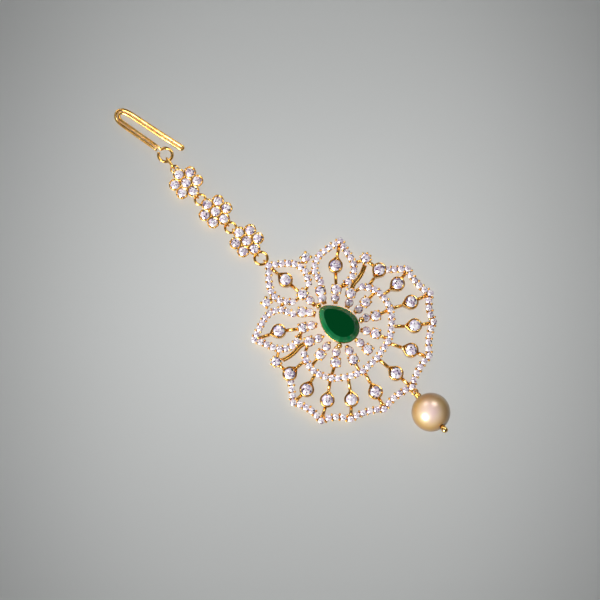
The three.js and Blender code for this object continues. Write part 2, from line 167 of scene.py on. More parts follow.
def newPiece(name, shape, material, smooth=True, replaced=()):
    # a mesh object in metres from a shape, riding on the root body
    points, polygons = shape
    mesh = bpy.data.meshes.new(name)
    loops = np.concatenate([faces.ravel() for faces in polygons])
    totals = np.concatenate([np.full(len(faces), faces.shape[1]) for faces in polygons])
    mesh.vertices.add(len(points))
    mesh.vertices.foreach_set("co", (points * mm).ravel())
    mesh.loops.add(len(loops))
    mesh.loops.foreach_set("vertex_index", loops)
    mesh.polygons.add(len(totals))
    mesh.polygons.foreach_set("loop_start", np.cumsum(totals) - totals)
    mesh.polygons.foreach_set("use_smooth", np.full(len(totals), smooth))
    mesh.update(calc_edges=True)
    mesh.validate()
    mesh.materials.append(material)
    piece = bpy.data.objects.new(name, mesh)
    bpy.context.scene.collection.objects.link(piece)
    jewel.objects.link(piece)
    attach(piece, "root")
    if replaced:
        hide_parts(*replaced)
    return piece


def spline(points, steps, closed=False):
    # Catmull-Rom curve through the points, with even steps between each pair
    points = np.array(points, float)
    count = len(points)
    if closed:
        padded = np.concatenate([points[-1:], points, points[:2]])
        spans = count
    else:
        padded = np.concatenate([2 * points[:1] - points[1:2], points, 2 * points[-1:] - points[-2:-1]])
        spans = count - 1
    t = (np.arange(steps) / steps)[None, :, None]
    a, b, c, d = [padded[i:i + spans, None] for i in range(4)]
    curve = 2 * b + (c - a) * t + (2 * a - 5 * b + 4 * c - d) * t ** 2 + (3 * b - a - 3 * c + d) * t ** 3
    curve = 0.5 * curve.reshape(-1, points.shape[1])
    return curve if closed else np.concatenate([curve, points[-1:]])


def evenly(path, count):
    # count points at equal distances along a path, from end to end
    step = np.linalg.norm(np.diff(path, axis=0), axis=1)
    travelled = np.concatenate([[0], np.cumsum(step)])
    wanted = np.linspace(0, travelled[-1], count)
    return np.stack([np.interp(wanted, travelled, path[:, k]) for k in range(path.shape[1])], axis=-1)


def flipped(points):
    # the mirror image across the middle line
    return np.array(points, float) * np.array([-1.0] + [1.0] * (np.shape(points)[-1] - 1))


def bothSides(points):
    # right-hand points and their mirror images; points on the middle line once
    points = np.array(points, float)
    return np.concatenate([points, flipped(points[np.abs(points[:, 0]) > 0.01])])


def atHeight(points, z):
    # flat points raised to one height
    points = np.array(points, float)[:, :2]
    return np.concatenate([points, np.full((len(points), 1), z)], axis=1)


# Stones

def brilliant(table=0.56, crown=0.32, pavilion=0.78):
    # round brilliant of girdle radius 1 at z 0: rings of points at the table, mid crown, girdle, lower
    # girdle and mid pavilion, each turned half a step where its facets meet, a culet, and then an inner
    # ring and a middle point that split the flat table, so that each piece gets its own painted reflection
    # of the pavilion's facets seen through it
    def ring(count, radius, z, shift=0.0):
        angle = (np.arange(count) + shift) / count * 2 * np.pi
        return np.stack([radius * np.cos(angle), radius * np.sin(angle), np.full(count, z)], axis=-1)
    points = np.concatenate([
        ring(8, table, crown), ring(8, 0.80, crown * 0.56, 0.5), ring(16, 1.0, 0.03),
        ring(16, 1.0, -0.03), ring(8, 0.42, -pavilion * 0.55, 0.5), [[0, 0, -pavilion]],
        ring(8, table * 0.45, crown, 0.5), [[0, 0, crown]],
    ])
    i = np.arange(8)
    after = (i + 1) % 8
    before = (i - 1) % 8
    table0, mid, top, low, deep, culet, inner, centre = 0, 8, 16, 32, 48, 56, 57, 65
    tableOuter = np.stack([table0 + i, table0 + after, inner + i], axis=-1)
    tableBetween = np.stack([table0 + i, inner + i, inner + before], axis=-1)
    tableInner = np.stack([inner + before, inner + i, np.full(8, centre)], axis=-1)
    starFacets = np.stack([table0 + i, mid + i, table0 + after], axis=-1)
    kites = np.stack([table0 + i, mid + before, top + 2 * i, mid + i], axis=-1)
    upperLeft = np.stack([mid + i, top + 2 * i, top + 2 * i + 1], axis=-1)
    upperRight = np.stack([mid + i, top + 2 * i + 1, top + 2 * after], axis=-1)
    j = np.arange(16)
    girdle = np.stack([top + j, low + j, low + (j + 1) % 16, top + (j + 1) % 16], axis=-1)
    lowerLeft = np.stack([low + 2 * i, deep + i, low + 2 * i + 1], axis=-1)
    lowerRight = np.stack([low + 2 * i + 1, deep + i, low + 2 * after], axis=-1)
    mains = np.stack([low + 2 * i, deep + before, np.full(8, culet), deep + i], axis=-1)
    crownFacets = [tableOuter, tableBetween, tableInner, starFacets, kites, upperLeft, upperRight]
    return points, [*crownFacets, girdle, lowerLeft, lowerRight, mains]


def facetValues(piece):
    # one random number for each facet, for the material to pick its painted reflection by
    values = piece.data.attributes.new("facet", "FLOAT", "FACE")
    values.data.foreach_set("value", rng.random(len(piece.data.polygons)).astype(np.float32))


def setStones(name, places, radii, material, replaced=()):
    # brilliants at the places, each turned by chance, as one flat-shaded piece
    turns = rng.random(len(places)) * np.pi
    stones = copies(brilliant(), places, radii, turns)
    piece = newPiece(name, stones, material, False, replaced)
    facetValues(piece)
    return piece


# Materials

def goldPlate():
    # brass, cast and polished, then gold plated: a warm mirror with faint casting ripples and worn haze
    material = newMaterial("Polished gold plate on cast brass")
    place = addNode(material, "ShaderNodeTexCoord")
    cloud = addNode(material, "ShaderNodeTexNoise", {"Scale": 700.0, "Detail": 3.0},
                    {"Vector": (place, "Object")})  # tone drifts over about 1.5 mm
    tone = addNode(material, "ShaderNodeValToRGB", links={"Fac": (cloud, "Fac")})
    rampStops(tone, [(0.25, "#d49c48"), (0.5, "#eab760"), (0.75, "#fbdb98")])
    haze = addNode(material, "ShaderNodeMapRange", {"To Min": 0.12, "To Max": 0.28},
                   {"Value": (cloud, "Fac")})
    ripple = addNode(material, "ShaderNodeTexNoise", {"Scale": 2600.0, "Detail": 2.0},
                     {"Vector": (place, "Object")})  # ripples 0.4 mm apart
    bump = addNode(material, "ShaderNodeBump", {"Strength": 0.1, "Distance": 0.00004},
                   {"Height": (ripple, "Fac")})
    shader = addNode(material, "ShaderNodeBsdfPrincipled", {"Metallic": 1.0},
                     {"Base Color": (tone, "Color"), "Roughness": (haze, "Result"),
                      "Normal": (bump, "Normal")})
    addNode(material, "ShaderNodeOutputMaterial", links={"Surface": (shader, "BSDF")})
    return material


def clearStone():
    # cubic zirconia, cut: each facet is painted with a reflection of another part of the room, white, lilac
    # or dark, and glows faintly in that colour as painted light
    material = newMaterial("Cubic zirconia, faceted, painted reflections")
    facet = addNode(material, "ShaderNodeAttribute", {"attribute_name": "facet"})
    shade = addNode(material, "ShaderNodeValToRGB", links={"Fac": (facet, "Fac")})
    shade.color_ramp.interpolation = "CONSTANT"
    # painted reflections, one per facet: white, pale lilac, pink, violet and dark
    rampStops(shade, [(0.0, "#fffdff"), (0.36, "#e6d8ee"), (0.52, "#f2d8dc"), (0.66, "#b3a0c0"),
                      (0.82, "#74627f"), (0.94, "#3c3040")])
    # painted light: each facet also glows faintly in its painted reflection colour
    shader = addNode(material, "ShaderNodeBsdfPrincipled",
                     {"Metallic": 0.3, "Roughness": 0.1, "IOR": 2.15, "Coat Weight": 0.6,
                      "Coat Roughness": 0.03, "Emission Strength": 0.1},
                     {"Base Color": (shade, "Color"), "Emission Color": (shade, "Color")})
    addNode(material, "ShaderNodeOutputMaterial", links={"Surface": (shader, "BSDF")})
    return material


def greenStone():
    # emerald-green glass, cut and polished: deep green, with painted light and shade by facet slant, dark on
    # the flat table one looks into, lighter on the slanting crown
    material = newMaterial("Emerald-green glass, faceted, painted light by slant")
    facet = addNode(material, "ShaderNodeAttribute", {"attribute_name": "facet"})
    shade = addNode(material, "ShaderNodeValToRGB", links={"Fac": (facet, "Fac")})
    # deep green of the glass, painted lighter on slanting facets
    rampStops(shade, [(0.0, "#003516"), (0.5, "#00522a"), (1.0, "#0c8048")])
    shader = addNode(material, "ShaderNodeBsdfPrincipled",
                     {"Roughness": 0.05, "IOR": 1.5, "Coat Weight": 0.15, "Coat Roughness": 0.02},
                     {"Base Color": (shade, "Color")})
    addNode(material, "ShaderNodeOutputMaterial", links={"Surface": (shader, "BSDF")})
    return material


def pearlLustre():
    # glass pearl with a nacre coat: cream and pink at the middle, tan at the edge, darkened there to brown as
    # painted shade, under a clear gloss
    material = newMaterial("Champagne pearl, nacre coated, painted rim shade")
    place = addNode(material, "ShaderNodeTexCoord")
    cloud = addNode(material, "ShaderNodeTexNoise", {"Scale": 260.0, "Detail": 2.0},
                    {"Vector": (place, "Object")})  # soft clouds 4 mm apart
    # painted shade at the rim: the champagne tone is the pearl's own, but its darkening to tan and brown as
    # the surface turns away from the camera is painted
    edge = addNode(material, "ShaderNodeLayerWeight", {"Blend": 0.42})
    body = addNode(material, "ShaderNodeValToRGB", links={"Fac": (edge, "Facing")})
    rampStops(body, [(0.0, "#efe0cc"), (0.16, "#e0c898"), (0.34, "#bd9a58"), (1.0, "#6e5018")])
    tint = addNode(material, "ShaderNodeValToRGB", links={"Fac": (cloud, "Fac")})
    rampStops(tint, [(0.38, "#fff8ec"), (0.62, "#f4dcee")])
    mixed = addNode(material, "ShaderNodeMix", {"data_type": "RGBA", "blend_type": "MULTIPLY", 0: 0.8},
                    {6: (body, "Color"), 7: (tint, "Color")})  # 6 and 7 are the two colours, 2 the result
    shader = addNode(material, "ShaderNodeBsdfPrincipled",
                     {"Roughness": 0.34, "IOR": 1.53, "Metallic": 0.2,
                      "Coat Weight": 0.9, "Coat Roughness": 0.28},
                     {"Base Color": (mixed, 2)})
    addNode(material, "ShaderNodeOutputMaterial", links={"Surface": (shader, "BSDF")})
    return material


gold, zirconia, emerald, nacre = goldPlate(), clearStone(), greenStone(), pearlLustre()
print("materials made")


# Paved rows of the pendant

row = {  # mm
    "pitch": 1.36, "cupRadius": 0.7, "cupHeight": 1.4, "stoneRadius": 0.68, "girdle": 1.5,
    "beadRadius": 0.26, "beadHeight": 1.58, "beadAcross": 0.6, "sides": 10,
}
cupFoot, barFoot, railStep = 0.06, 0.03, 0.01  # feet at different heights, so that none lie in one plane
rimCorners = [  # right-hand half: place, and how far the stretch after it sags inwards
    (15.6, -0.6, 0.0), (18.5, -3.7, 0.65), (17.6, -10.6, 0.65), (13.4, -15.0, 0.55), (7.3, -18.9, 0.6),
    (0, -20.4, 0),
]
innerRing = [(9.35, 1.15), (10.55, -1.1), (10.5, -4.2), (8.7, -7.45), (4.75, -10.2), (0, -10.9)]
middlePetal = [(0, 18.9), (1.95, 17.3), (3.75, 15.15), (4.18, 12.55), (2.57, 10.05)]
upperEdge = [(13.85, 11.0), (11.1, 11.8), (8.3, 12.3), (5.6, 11.1), (4.45, 8.35)]
lowerEdge = [(13.85, 11.0), (12.85, 8.2), (11.9, 5.6), (9.4, 4.0), (6.9, 4.4)]


def rimHalf():
    # dense line of the right-hand rim, each stretch a shallow arc, and its stones' places
    line, stones = [], []
    for (x, y, sag), (nextX, nextY, _) in zip(rimCorners, rimCorners[1:]):
        start, span = np.array([x, y]), np.array([nextX - x, nextY - y])
        inward = np.array([span[1], -span[0]]) / np.hypot(*span)
        for steps, keep in ((16, line), (round(np.hypot(*span) / row["pitch"]), stones)):
            t = (np.arange(steps) / steps)[:, None]
            keep.append(start + span * t + inward * 4 * t * (1 - t) * sag)
    end = np.array([[0.0, rimCorners[-1][1]]])
    return np.concatenate(line + [end]), np.concatenate(stones + [end])


def cup(radius, height, sides=10):
    # a small cup of cast metal: foot, flared wall, rounded rim and a shallow seat
    return lathe([(radius * 0.8, cupFoot), (radius * 0.97, height * 0.6), (radius, height * 0.92),
                  (radius * 0.93, height), (radius * 0.82, height), (radius * 0.5, height * 0.8)], sides)


def bead(radius, sides=8):
    # the dome of a prong or a grain that holds a stone down, on a short stem
    angle = np.linspace(0, np.pi / 2 * 0.86, 4)
    dome = np.stack([radius * np.cos(angle), radius * np.sin(angle)], axis=-1)
    return lathe([(radius * 0.7, -radius * 2.2), *dome], sides)


def paved(line):
    # a row's stones: as many as its length holds at the pitch
    length = np.linalg.norm(np.diff(line, axis=0), axis=1).sum()
    return evenly(line, round(length / row["pitch"]) + 1)


def beadPairs(places):
    # two grains between each two neighbours of a row, one on each side of it
    middle = (places[1:] + places[:-1]) / 2
    along = places[1:] - places[:-1]
    along /= np.linalg.norm(along, axis=1, keepdims=True)
    across = np.stack([-along[:, 1], along[:, 0]], axis=-1) * row["beadAcross"]
    return np.concatenate([middle + across, middle - across])


rimLine, rimStones = rimHalf()
rowStones, rowGrains, rowLines = [], [], []
curves = [spline(points, 8) for points in (innerRing, middlePetal, upperEdge, lowerEdge)]
for line, places in [(rimLine, rimStones), *[(curve, paved(curve)) for curve in curves]]:
    rowLines.append(line)
    rowStones.append(places)
    rowGrains.append(beadPairs(places))
rowStones[4] = rowStones[4][1:-1]  # the corner stone belongs to the upper edge, and the end is plain
rowPlaces = bothSides(np.concatenate(rowStones))
grainPlaces = bothSides(np.concatenate(rowGrains))

railSection = [(-0.5, 0.0), (-0.55, 0.6), (-0.45, 1.15), (0.45, 1.15), (0.55, 0.6), (0.5, 0.0)]
rails = []
for index, line in enumerate(rowLines):
    rails += [sweep(atHeight(side, railStep * index), railSection) for side in (line, flipped(line)[::-1])]
rowCups = copies(cup(row["cupRadius"], row["cupHeight"], row["sides"]), atHeight(rowPlaces, 0.0))
newPiece("pendant_rows", joined(rails + [rowCups]), gold, replaced=("pendant_frame",))
newPiece("pendant_grains", copies(bead(row["beadRadius"], 7), atHeight(grainPlaces, row["beadHeight"])),
         gold)
setStones("paved_stones", atHeight(rowPlaces, row["girdle"]), row["stoneRadius"], zirconia)
print("paved rows:", len(rowPlaces), "stones")


# Arms round the green stone

arm = {"largeCup": 1.16, "largeStone": 1.0, "smallCup": 0.93, "smallStone": 0.82, "height": 1.7,
       "bead": 0.28, "endBead": 0.34}
armSeats = np.array([  # right-hand half: large cup x y, small cup x y
    (0, 9.6, 0, 7.55), (2.95, 7.2, 1.95, 5.9), (5.35, 4.9, 3.8, 3.85), (6.7, 2.05, 4.95, 1.0),
    (7.3, -1.5, 5.2, -1.4), (6.45, -5.0, 4.75, -3.7), (3.6, -7.4, 2.75, -5.55), (0, -8.3, 0, -6.2),
])
largeSeats, smallSeats = bothSides(armSeats[:, :2]), bothSides(armSeats[:, 2:])
armAlong = largeSeats - smallSeats
armAlong /= np.linalg.norm(armAlong, axis=1, keepdims=True)
armAcross = np.stack([-armAlong[:, 1], armAlong[:, 0]], axis=-1)
armGrains = np.concatenate([
    largeSeats + armAlong * a + armAcross * b for a in (0.75, -0.75) for b in (0.85, -0.85)
])
endGrains = smallSeats - armAlong * 1.0


def bar(x1, y1, x2, y2, width=0.7, height=1.05):
    # a straight bar with rounded top edges
    half = width / 2
    section = [(-half, barFoot), (-half, height * 0.7), (-half * 0.55, height), (half * 0.55, height),
               (half, height * 0.7), (half, barFoot)]
    return sweep([(x1, y1, 0), ((x1 + x2) / 2, (y1 + y2) / 2, 0), (x2, y2, 0)], section)


armParts = [
    copies(cup(arm["largeCup"], arm["height"], 16), atHeight(largeSeats, 0)),
    copies(cup(arm["smallCup"], arm["height"], 14), atHeight(smallSeats, 0)),
    copies(bead(arm["bead"], 9), atHeight(armGrains, arm["height"] + 0.08)),
    copies(bead(arm["endBead"], 9), atHeight(endGrains, arm["height"] + 0.1)),
]
armParts += [bar(*big, *(small * 0.8), 0.9, 1.2) for big, small in zip(largeSeats, smallSeats)]
newPiece("pendant_arms", joined(armParts), gold)
armStonePlaces = atHeight(np.concatenate([largeSeats, smallSeats]), arm["height"] + 0.04)
armStoneRadii = np.repeat([arm["largeStone"], arm["smallStone"]], len(largeSeats))
setStones("arm_stones", armStonePlaces, armStoneRadii, zirconia)
print("arms:", len(largeSeats))


# Bezels, their stones and the bars that tie them in

bezel = {"halfWidth": 1.55, "length": 3.85, "height": 1.75, "stoneRadius": 1.16, "bead": 0.24}
bezelSeats = [  # right-hand half: node of the stone, where the tip's bar and the round end's bar run to
    ("fan_stone_1", 0, -10.9, 0, -20.0), ("fan_stone_2", 3.9, -10.6, 6.9, -18.5),
    ("fan_stone_4", 7.0, -8.9, 13.0, -14.7), ("fan_stone_6", 9.6, -6.3, 17.2, -10.4),
    ("fan_stone_8", 10.6, -3.2, 18.2, -3.8), ("fan_stone_10", 10.2, 0.2, 15.8, -0.8),
    ("petal_stone_1", 0, 18.6, 0, 9.6), ("petal_stone_2", 13.2, 10.7, 5.35, 4.9),
]


def middleOf(node):
    # the middle of a CAD node's box, in mm
    low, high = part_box(node)
    return (np.array(low) + np.array(high)) / 2 / mm


def teardrop(halfWidth, length, steps=26):
    # outline round the stone with its tip on +X: an arc, then straight sides to a slightly rounded tip
    tip = length - halfWidth
    opening = math.acos(halfWidth / tip)
    angle = np.linspace(opening, 2 * np.pi - opening, steps)
    arc = np.stack([halfWidth * np.cos(angle), halfWidth * np.sin(angle)], axis=-1)
    return np.concatenate([arc, [[tip - 0.12, -0.07], [tip, 0.0], [tip - 0.12, 0.07]]])


def teardropBezel():
    # rings of the outline at rising heights: wall outside, rounded rim, wall inside and a floor
    rings = [(0.0, 0.0), (0.0, 0.8), (0.02, 0.95), (0.1, 1.0), (0.22, 1.0), (0.32, 0.93), (0.36, 0.78)]
    outline = teardrop(bezel["halfWidth"], bezel["length"])
    points, count = [], len(outline)
    for inset, level in rings:
        scale = 1 - inset / bezel["halfWidth"]
        points.append(atHeight(outline * scale, level * bezel["height"]))
    faces = gridFaces(len(rings), count)
    last = (len(rings) - 1) * count
    caps = [np.arange(count)[::-1][None], (last + np.arange(count))[None]]
    return np.concatenate(points), [faces, *caps]


bezelParts, bezelStones, bezelNodes = [], [], []
for node, tipX, tipY, tailX, tailY in bezelSeats:
    seat = middleOf(node)[:2]
    for side in ([1, -1] if abs(seat[0]) > 0.1 else [1]):
        here = seat * (side, 1)
        tip, tail = np.array([side * tipX, tipY]), np.array([side * tailX, tailY])
        heading = math.atan2(*(tip - here)[::-1])
        bezelParts.append(copies(teardropBezel(), [(*here, 0)], 1.0, heading))
        tipEnd = here + (tip - here) / np.hypot(*(tip - here)) * (bezel["length"] - bezel["halfWidth"] - 0.2)
        tailEnd = here + (tail - here) / np.hypot(*(tail - here)) * (bezel["halfWidth"] - 0.15)
        bezelParts += [bar(*tipEnd, *tip), bar(*tailEnd, *tail)]
        beadAngles = heading + np.array([0.0, 2.1, -2.1])
        reach = bezel["stoneRadius"] + 0.08
        grains = here + np.stack([np.cos(beadAngles), np.sin(beadAngles)], axis=-1) * reach
        bezelParts.append(copies(bead(bezel["bead"]), atHeight(grains, bezel["height"] + 0.02)))
        bezelStones.append((*here, bezel["height"] - 0.02))
newPiece("pendant_bezels", joined(bezelParts), gold)
fanNodes = [f"fan_stone_{i}" for i in range(1, 12)] + [f"petal_stone_{i}" for i in range(1, 4)]
setStones("bezel_stones", np.array(bezelStones), bezel["stoneRadius"], zirconia, fanNodes)
print("bezels:", len(bezelStones))


# Claw-set and single stones, stems and short bars

claw = {"cup": 1.0, "stone": 1.0, "height": 1.7, "reach": 1.05, "prong": 0.36}
single = {"cup": 1.12, "stone": 0.98, "height": 1.75, "reach": 1.12, "grain": 0.27, "grains": 8}
clawSeats = np.array([middleOf("claw_stone_1")[:2], middleOf("claw_stone_2")[:2]])
singleSeats = np.array([middleOf("side_stone_1")[:2], middleOf("side_stone_2")[:2]])


def around(seats, reach, count, shift=0.5):
    # count places on a circle round each seat
    angle = (np.arange(count) + shift) / count * 2 * np.pi
    ring = np.stack([np.cos(angle), np.sin(angle)], axis=-1) * reach
    return (seats[:, None] + ring[None]).reshape(-1, 2)


shortBars = [  # right-hand half
    (7.3, -1.5, 10.6, -1.6), (6.45, -5.0, 9.6, -6.3), (3.6, -7.4, 4.6, -10.2), (6.34, 14.15, 4.1, 14.0),
    (14.4, 4.5, 12.4, 5.6), (14.4, 4.5, 14.47, 1.9), (2.57, 10.05, 0, 9.6), (3.7, 11.6, 5.6, 11.1),
    (4.45, 8.35, 2.95, 7.2), (6.9, 4.4, 5.35, 4.9), (6.7, 2.05, 9.35, 1.15),
]
stem = [(13.3, 3.75), (11.9, 3.2), (10.3, 2.9), (8.6, 2.85), (7.2, 2.3)]
clawProngs = around(clawSeats, claw["reach"], 4)
singleGrains = around(singleSeats, single["reach"], single["grains"])
trim = [
    copies(cup(claw["cup"], claw["height"], 16), atHeight(clawSeats, 0)),
    copies(bead(claw["prong"], 10), atHeight(clawProngs, claw["height"] + 0.15)),
    copies(cup(single["cup"], single["height"], 16), atHeight(singleSeats, 0)),
    copies(bead(single["grain"]), atHeight(singleGrains, single["height"])),
]
for x1, y1, x2, y2 in shortBars:
    trim += [bar(x1, y1, x2, y2), bar(-x1, y1, -x2, y2)]
for side in (1, -1):
    for offset in (-0.24, 0.24):  # two wires side by side
        line = spline(stem, 8) + [0, offset]
        line = line * [side, 1]
        trim.append(sweep(atHeight(line, 1.1), roundSection(0.27, 10)))
newPiece("pendant_trim", joined(trim), gold)
setStones("claw_stones", atHeight(clawSeats, claw["height"] + 0.1), claw["stone"], zirconia,
          ("claw_stone_1", "claw_stone_2"))
setStones("single_stones", atHeight(singleSeats, single["height"] + 0.05), single["stone"], zirconia,
          ("side_stone_1", "side_stone_2"))
print("trim made")


# The green stone and its setting

pear = {"halfWidth": 3.45, "widestY": -1.0, "bottomY": -4.9, "tipY": 4.6, "taper": 0.65,
        "girdle": 3.5, "table": 4.75, "culet": 1.4, "sides": 24, "seatHeight": 3.3}
prongs = np.array([(0, 5.3), (3.55, -3.45), (-3.55, -3.45)])


def pearOutline(grow, count):
    # half an ellipse below the widest line; above it the rise is c - taper c^2 (1 - c), for blunt shoulders
    angle = np.arange(count) / count * 2 * np.pi
    level = np.cos(angle)
    above, below = pear["tipY"] - pear["widestY"] + grow, pear["widestY"] - pear["bottomY"] + grow
    rise = np.where(level > 0, above * (level - pear["taper"] * level ** 2 * (1 - level)), below * level)
    return np.stack([-(pear["halfWidth"] + grow) * np.sin(angle), pear["widestY"] + rise], axis=-1)


def stacked(levels, count):
    # the pear outline at each (grow, height), joined upwards, with a flat cap at each end
    points = np.concatenate([atHeight(pearOutline(grow, count), z) for grow, z in levels])
    last = (len(levels) - 1) * count
    caps = [np.arange(count)[::-1][None], (last + np.arange(count))[None]]
    return points, [gridFaces(len(levels), count), *caps]


g = pear["girdle"]
centreStone = newPiece("centre_stone_cut", stacked([
    (-3.0, pear["culet"]), (-1.5, g - 1.1), (-0.35, g - 0.35), (0.0, g - 0.06), (0.0, g + 0.08),
    (-0.42, g + 0.62), (-1.02, pear["table"]),
], pear["sides"]), emerald, False, ("centre_stone",))
# painted light and shade: each facet's green is lighter the more it slants, so the flat table stays dark and
# the crown lighter, with a little random tone added
normals = np.zeros(len(centreStone.data.polygons) * 3)
centreStone.data.polygons.foreach_get("normal", normals)
slant = 1 - np.abs(normals[2::3])
paintedSlantLight = centreStone.data.attributes.new("facet", "FLOAT", "FACE")
paintedSlantValues = np.clip(slant * 1.6 + rng.random(len(slant)) * 0.12, 0, 1)
paintedSlantLight.data.foreach_set("value", paintedSlantValues.astype(np.float32))

h = pear["seatHeight"]
prongProfile = [(0.34, 0.06), (0.36, 2.4), (0.42, 3.3), (0.58, 3.55), (0.62, 3.8), (0.5, 4.12), (0.25, 4.3),
                (0.05, 4.34)]  # a thin post that ends in a ball
setting = [
    stacked([(-0.25, 0), (-0.2, 0.8), (-0.12, h * 0.6), (0.02, h - 0.3), (0.1, h - 0.05), (0.05, h + 0.05),
             (-0.15, h), (-0.3, h - 0.4), (-1.4, 2.2)], 48),
    copies(lathe(prongProfile, 16), atHeight(prongs, 0)),
]
newPiece("centre_setting", joined(setting), gold)
print("centre stone and setting made")


# Flower links

flower = {"pitch": 2.4, "cupScale": 1.1, "height": 1.8, "stone": 0.97, "grain": 0.27, "reach": 1.1}
flowerSeats = [("flower_link_1", 2.05, 43.85, 9), ("flower_link_2", 1.4, 35.0, 1),
               ("flower_link_3", 0.95, 25.9, 7)]
flowerCup = lathe([(0.78, 0), (0.86, 0.5), (1.02, 1.1), (1.14, 1.55), (1.18, 1.68), (1.12, 1.76), (1.0, 1.74),
                   (0.9, 1.62), (0.5, 1.4)], 20)  # mm, before cupScale widens it


def ringOfWire(middle, radius, wire, axis=(0, 0, 1), stretch=0.0, along=(0, 1, 0), steps=48, sides=12):
    # round wire in a ring about an axis; stretch pulls its two halves apart along a direction
    axis, along = np.array(axis, float), np.array(along, float)
    along /= np.linalg.norm(along)
    other = np.cross(axis, along)
    angle = np.arange(steps) / steps * 2 * np.pi
    cos, sin = np.cos(angle)[:, None], np.sin(angle)[:, None]
    lengthwise = along * (radius * cos + stretch * np.sign(np.round(cos, 6)))
    path = np.array(middle, float) + lengthwise + other * radius * sin
    return sweep(path, roundSection(wire, sides), True, axis)


def turned(degrees):
    # the direction that far clockwise from +Y
    return np.array([math.sin(math.radians(degrees)), math.cos(math.radians(degrees)), 0.0])


eyelet = {"radius": 0.6, "wire": 0.17}
smallRing = {"radius": 1.14, "wire": 0.28}
largeRing = {"radius": 1.35, "wire": 0.3}
topLoop = {"middle": (2.8, 47.82, 1.0), "radius": 0.8, "wire": 0.2}
upperRing, lowerRing = middleOf("flower_ring_1"), middleOf("flower_ring_2")
pendantRing = middleOf("pendant_ring")
eyelets = {"flower_link_1": [(upperRing, 1, smallRing["radius"])],
           "flower_link_2": [(upperRing, -1, smallRing["radius"]), (lowerRing, 1, smallRing["radius"])],
           "flower_link_3": [(lowerRing, -1, smallRing["radius"]), (pendantRing, 1, largeRing["radius"])]}


def uprightEyelet(middle, reach):
    # a small ring on edge, round the wire of a lying ring, that far along Y from that ring's middle
    place = middle + [0, reach, 0]
    return ringOfWire(place, eyelet["radius"], eyelet["wire"], (1, 0, 0), steps=24, sides=10)


for node, x, y, turn in flowerSeats:
    angle = np.radians(90 - turn + 60 * np.arange(6))
    petals = np.array([x, y]) + flower["pitch"] * np.stack([np.cos(angle), np.sin(angle)], axis=-1)
    seats = np.concatenate([petals, [[x, y]]])
    grains = []
    for seat, outward in zip(petals, angle):
        spread = outward + np.radians([-75, -27, 27, 75])
        grains.append(seat + np.stack([np.cos(spread), np.sin(spread)], axis=-1) * flower["reach"])
    between = angle + np.pi / 6
    grains.append(np.array([x, y]) + np.stack([np.cos(between), np.sin(between)], axis=-1) * 1.3)
    parts = [copies(flowerCup, atHeight(seats, 0), flower["cupScale"]),
             copies(lathe([(2.1, 0.08), (2.2, 0.3), (2.2, 0.6), (1.9, 0.8)], 30), [(x, y, 0)]),
             copies(bead(flower["grain"]), atHeight(np.concatenate(grains), flower["height"] + 0.12))]
    for middle, side, radius in eyelets[node]:
        parts.append(uprightEyelet(middle, side * radius))
    if node == "flower_link_1":
        parts.append(ringOfWire(topLoop["middle"], topLoop["radius"], topLoop["wire"], steps=28, sides=10))
    newPiece(node + "_cups", joined(parts), gold, replaced=(node,))
    setStones(node + "_stones", atHeight(seats, flower["height"] + 0.04), flower["stone"], zirconia)
print("flower links made")


# Rings, link, hook

jumpRings = [("flower_ring_1", upperRing, smallRing), ("flower_ring_2", lowerRing, smallRing),
             ("pendant_ring", pendantRing, largeRing)]
for name, middle, ring in jumpRings:
    tube = ringOfWire(middle, ring["radius"], ring["wire"])
    newPiece(name + "_wire", tube, gold, replaced=(name,))
link = {"radius": 0.72, "wire": 0.25, "stretch": 0.62, "turn": 12}
linkAlong = turned(link["turn"])
linkAcross = np.cross(linkAlong, [0, 0, 1])
linkTube = ringOfWire(middleOf("hook_link"), link["radius"], link["wire"], linkAcross,
                      link["stretch"], linkAlong)
newPiece("hook_link_wire", linkTube, gold, replaced=("hook_link",))

hook = {"wire": 0.33, "apart": 0.37, "eyeRadius": 1.48, "eye": (3.85, 51.4, 1.0), "lean": 4}
hookLine = [(3.8, 53.5, 1.0), (3.4, 59.1, 0.7), (3.1, 63.6, 0.45), (3.65, 65.05, 0.36),
            (4.75, 65.25, 0.34), (5.65, 63.5, 0.34), (6.5, 56.5, 0.34), (7.35, 50.0, 0.34)]


def hookPath():
    # up one strand, round the fold at the free end, back down the other strand and round the eye
    line = spline(hookLine, 14)
    tangent = np.gradient(line, axis=0)
    tangent[:, 2] = 0
    tangent /= np.linalg.norm(tangent, axis=1, keepdims=True)
    across = np.cross(tangent, [0, 0, 1]) * hook["apart"]
    turn = np.radians(np.linspace(-60, 60, 5))[:, None]
    fold = line[-1] + tangent[-1] * hook["apart"] * np.cos(turn) + across[-1] * np.sin(turn)
    opening = math.asin(hook["apart"] / hook["eyeRadius"])
    start = math.pi / 2 + math.radians(hook["lean"]) - opening
    angle = start - np.linspace(0, 1, 40) * 2 * (math.pi - opening)
    eye = np.stack([np.cos(angle), np.sin(angle), np.zeros(40)], axis=-1) * hook["eyeRadius"] + hook["eye"]
    return np.concatenate([line - across, fold, (line + across)[::-1], eye])


hookTube = sweep(hookPath(), roundSection(hook["wire"], 14))
newPiece("hook_wire", hookTube, gold, replaced=("hook",))
print("hook and rings made")


# The pearl drop

drop = {"eye": (-0.6, -22.03, 1.75), "heading": 15, "eyeRadius": 0.72, "wire": 0.2}
pearl = {"radius": 4.0, "hole": 0.5, "fromEye": 5.22}
pin = {"shaft": 0.32, "capAt": 9.34, "wrapWire": 0.19, "wrapRadius": 0.52, "turns": 2.6}
bottomLoop = {"middle": (-0.5, -21.45, 1.75), "radius": 0.58, "wire": 0.2}

